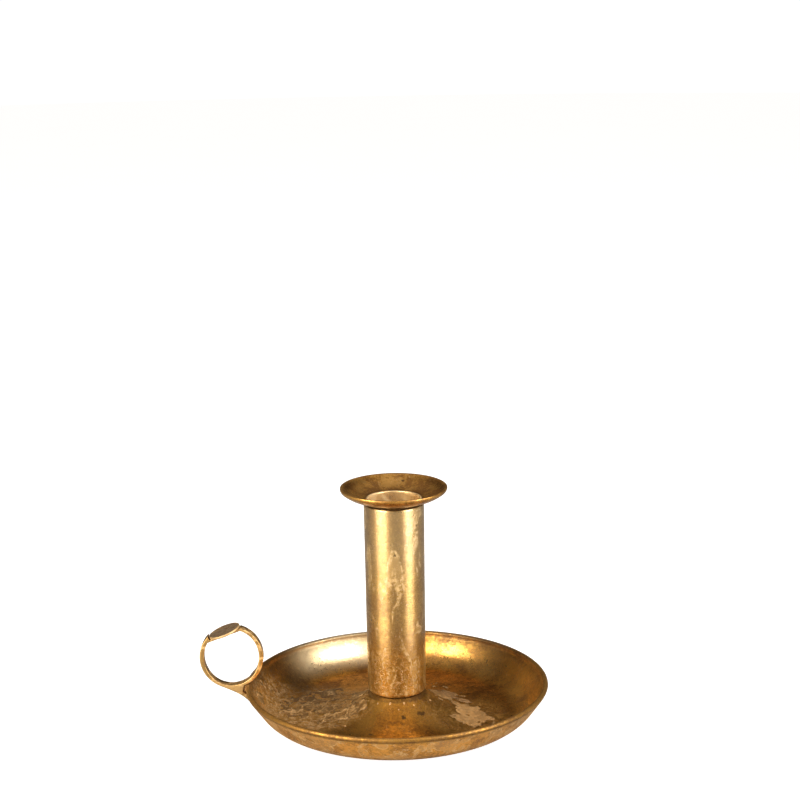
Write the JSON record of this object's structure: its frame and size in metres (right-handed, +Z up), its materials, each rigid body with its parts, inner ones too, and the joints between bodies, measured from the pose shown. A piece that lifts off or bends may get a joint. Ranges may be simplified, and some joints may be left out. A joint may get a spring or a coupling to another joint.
{
  "type": "chamberstick",
  "caption": "Brass chamberstick: round drip pan with a raised centre, tube stem, lift-out flared candle nozzle and finger ring with thumb disc.",
  "frame": {"origin": "centre of the whole object's footprint (pan and handle together), on the surface it stands on; the pan's own axis stands 10.42 mm from it towards +X", "axes": "+Z up along the stem, +X from the handle towards the far edge of the pan, +Y across"},
  "size_m": [0.1608, 0.14, 0.1095],
  "materials": {
    "pan_brass": "aged, browned inside, lighter and scratched outside, with wax residue",
    "tube_brass": "worn satin, mottled, pitted near the foot",
    "hidden_brass": "dull, unpolished",
    "screw_brass": "dull, slotted",
    "handle_brass": "rubbed bright on the edges",
    "thumb_brass": "dull grey-brown face, bright edge",
    "socket_brass": "satin, soot specks at the mouth",
    "dish_brass": "browned, worn bright on the edge"
  },
  "bodies": {
    "base": {"pan": "pan_brass", "stem_tube": "tube_brass", "stem_plug": "hidden_brass", "washer": "hidden_brass", "tie_screw": "screw_brass", "handle_strap": "handle_brass", "thumb_rest": "thumb_brass"},
    "nozzle": {"candle_socket": "socket_brass", "drip_dish": "dish_brass"}
  },
  "joints": [
    {"name": "nozzle_lift", "type": "slide", "parent": "base", "child": "nozzle", "axis": [0, 0, 1], "range_m": [0, 0.03]}
  ]
}
